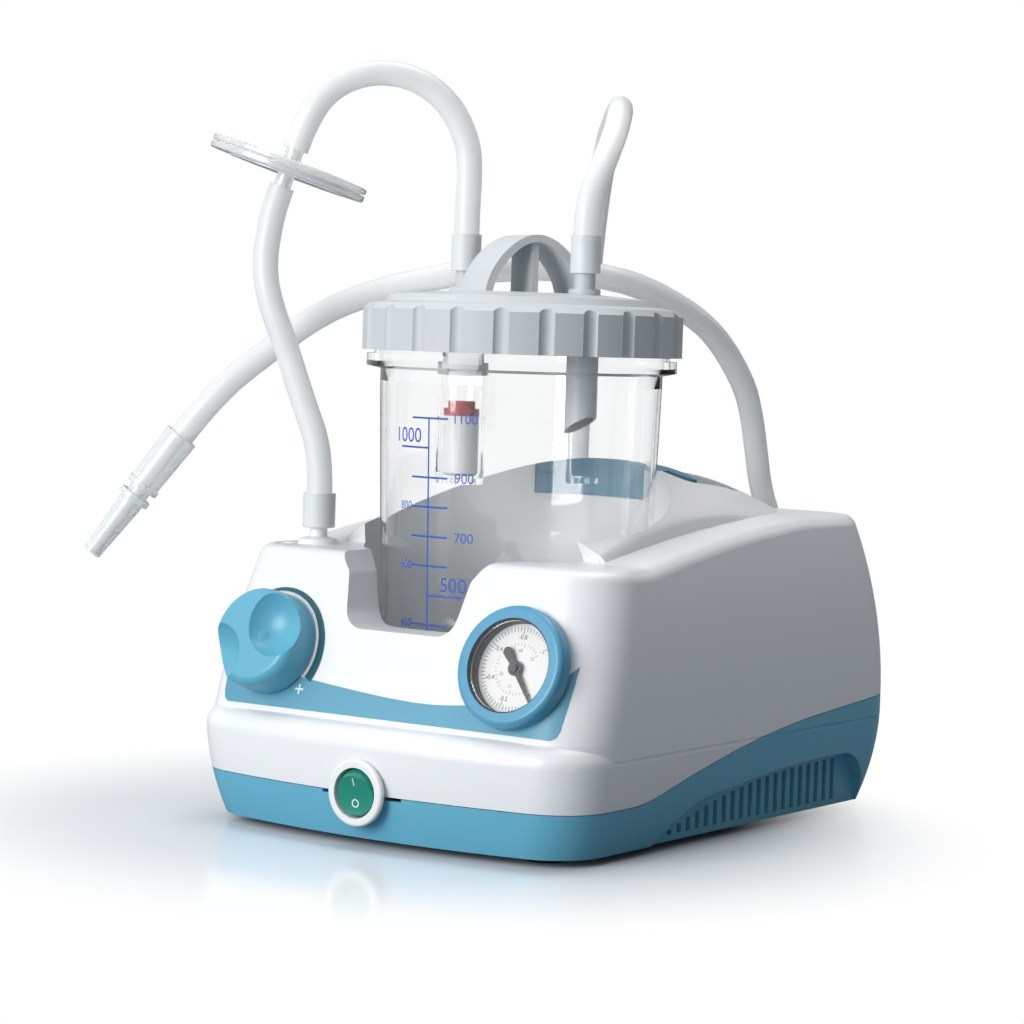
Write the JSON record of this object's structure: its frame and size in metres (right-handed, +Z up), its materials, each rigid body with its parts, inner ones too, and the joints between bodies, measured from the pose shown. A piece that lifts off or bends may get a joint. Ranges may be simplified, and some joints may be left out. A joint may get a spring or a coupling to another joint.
{
  "type": "vacuum aspirator",
  "caption": "Portable bench suction aspirator: two-part housing with vacuum regulator, gauge and switch, graduated collection jar, filter and suction hose.",
  "frame": {"origin": "middle of the housing's footprint, on the surface it stands on", "axes": "+Z up, the control panel faces -Y, +X to the right seen from the front"},
  "size_m": [0.2643, 0.2938, 0.3083],
  "materials": {
    "housing_white": "satin moulded ABS",
    "housing_blue": "satin moulded ABS",
    "handle_blue": "fine-grained moulded plastic",
    "rubber_black": "matt",
    "steel": "zinc plated",
    "knob_blue": "satin moulded",
    "brass": "turned",
    "bezel_blue": "satin moulded",
    "black_plastic": "matt moulded",
    "dial_white": "printed dial",
    "clear_glass": "clear polished",
    "pointer_black": "black lacquer",
    "collar_white": "smooth moulded",
    "rocker_green": "glossy translucent green",
    "zinc_plate": "plated sheet",
    "steel_laminations": "varnished laminations",
    "copper": "enamelled copper wire",
    "cast_alloy": "die cast",
    "fan_plastic": "moulded",
    "muffler_plastic": "moulded",
    "clear_plastic": "clear polycarbonate",
    "lid_grey": "satin moulded",
    "rubber_grey": "matt",
    "float_white": "moulded",
    "float_red": "soft seal",
    "cuff_silicone": "translucent silicone",
    "filter_clear": "translucent moulded shell",
    "membrane_white": "white membrane",
    "silicone": "translucent silicone",
    "connector_clear": "translucent moulded",
    "silicone_inner": "translucent silicone",
    "wire_black": "sleeved wires"
  },
  "bodies": {
    "main": {"upper_housing": "housing_white", "base_housing": "housing_blue", "carry_handle": "handle_blue", "rubber_feet": "rubber_black", "housing_screws": "steel", "regulator_body": "brass", "regulator_nut": "brass", "gauge_bezel": "bezel_blue", "gauge_case": "black_plastic", "gauge_dial": "dial_white", "gauge_window": "clear_glass", "bourdon_tube": "brass", "gauge_movement": "brass", "gauge_socket": "brass", "switch_collar": "collar_white", "switch_body": "black_plastic", "hose_port": "housing_white", "mains_inlet": "black_plastic", "inlet_screws": "steel", "pump_chassis": "zinc_plate", "rubber_mounts": "rubber_black", "motor_stator": "steel_laminations", "motor_windings": "copper", "motor_brackets": "cast_alloy", "motor_bearings": "steel", "crankcase": "cast_alloy", "crankcase_cover": "cast_alloy", "pump_cylinder": "cast_alloy", "piston_rod": "cast_alloy", "valve_plate": "steel", "pump_head": "cast_alloy", "head_screws": "steel", "exhaust_muffler": "muffler_plastic", "pump_hose": "silicone_inner", "gauge_hose": "silicone_inner", "wiring_loom": "wire_black"},
    "suction_control": {"suction_knob": "knob_blue", "valve_spindle": "brass"},
    "pointer": {"gauge_pointer": "pointer_black"},
    "rocker": {"switch_rocker": "rocker_green"},
    "fuse_tray": {"fuse_drawer": "black_plastic"},
    "rotor": {"motor_rotor": "steel", "cooling_fan": "fan_plastic"},
    "jar": {"collection_jar": "clear_plastic"},
    "lid": {"jar_lid": "lid_grey", "lid_gasket": "rubber_grey", "inlet_spout": "lid_grey", "float_seat": "lid_grey", "float_cage": "clear_plastic", "lid_cuffs": "cuff_silicone", "port_cuff": "cuff_silicone", "filter_upper": "filter_clear", "filter_lower": "filter_clear", "filter_membrane": "membrane_white", "filter_hose": "silicone", "port_hose": "silicone", "patient_hose": "silicone", "hose_connector": "connector_clear"},
    "float": {"float_body": "float_white", "float_cap": "float_red"}
  },
  "joints": [
    {"name": "suction_turn", "type": "hinge", "parent": "main", "child": "suction_control", "pos_m": [-0.059, -0.11025, 0.07233], "axis": [0, -0.9568, 0.2907], "range_deg": [-135, 135]},
    {"name": "gauge_sweep", "type": "hinge", "parent": "main", "child": "pointer", "pos_m": [0.059, -0.11145, 0.07322], "axis": [0, -0.9568, 0.2907], "range_deg": [0, 270], "stiffness_Nm_per_rad": 0.002},
    {"name": "power_rock", "type": "hinge", "parent": "main", "child": "rocker", "pos_m": [0, -0.1268, 0.0215], "axis": [1, 0, 0], "range_deg": [-18, 0]},
    {"name": "fuse_slide", "type": "slide", "parent": "main", "child": "fuse_tray", "axis": [0, 1, 0], "range_m": [0, 0.015]},
    {"name": "rotor_spin", "type": "hinge", "parent": "main", "child": "rotor", "pos_m": [0, 0.084, 0.046], "axis": [1, 0, 0], "continuous": true},
    {"name": "jar_lift", "type": "slide", "parent": "main", "child": "jar", "axis": [0, 0, 1], "range_m": [0, 0.13]},
    {"name": "lid_lift", "type": "slide", "parent": "jar", "child": "lid", "axis": [0, 0, 1], "range_m": [0, 0.08]},
    {"name": "float_rise", "type": "slide", "parent": "lid", "child": "float", "axis": [0, 0, 1], "range_m": [0, 0.0078]}
  ]
}
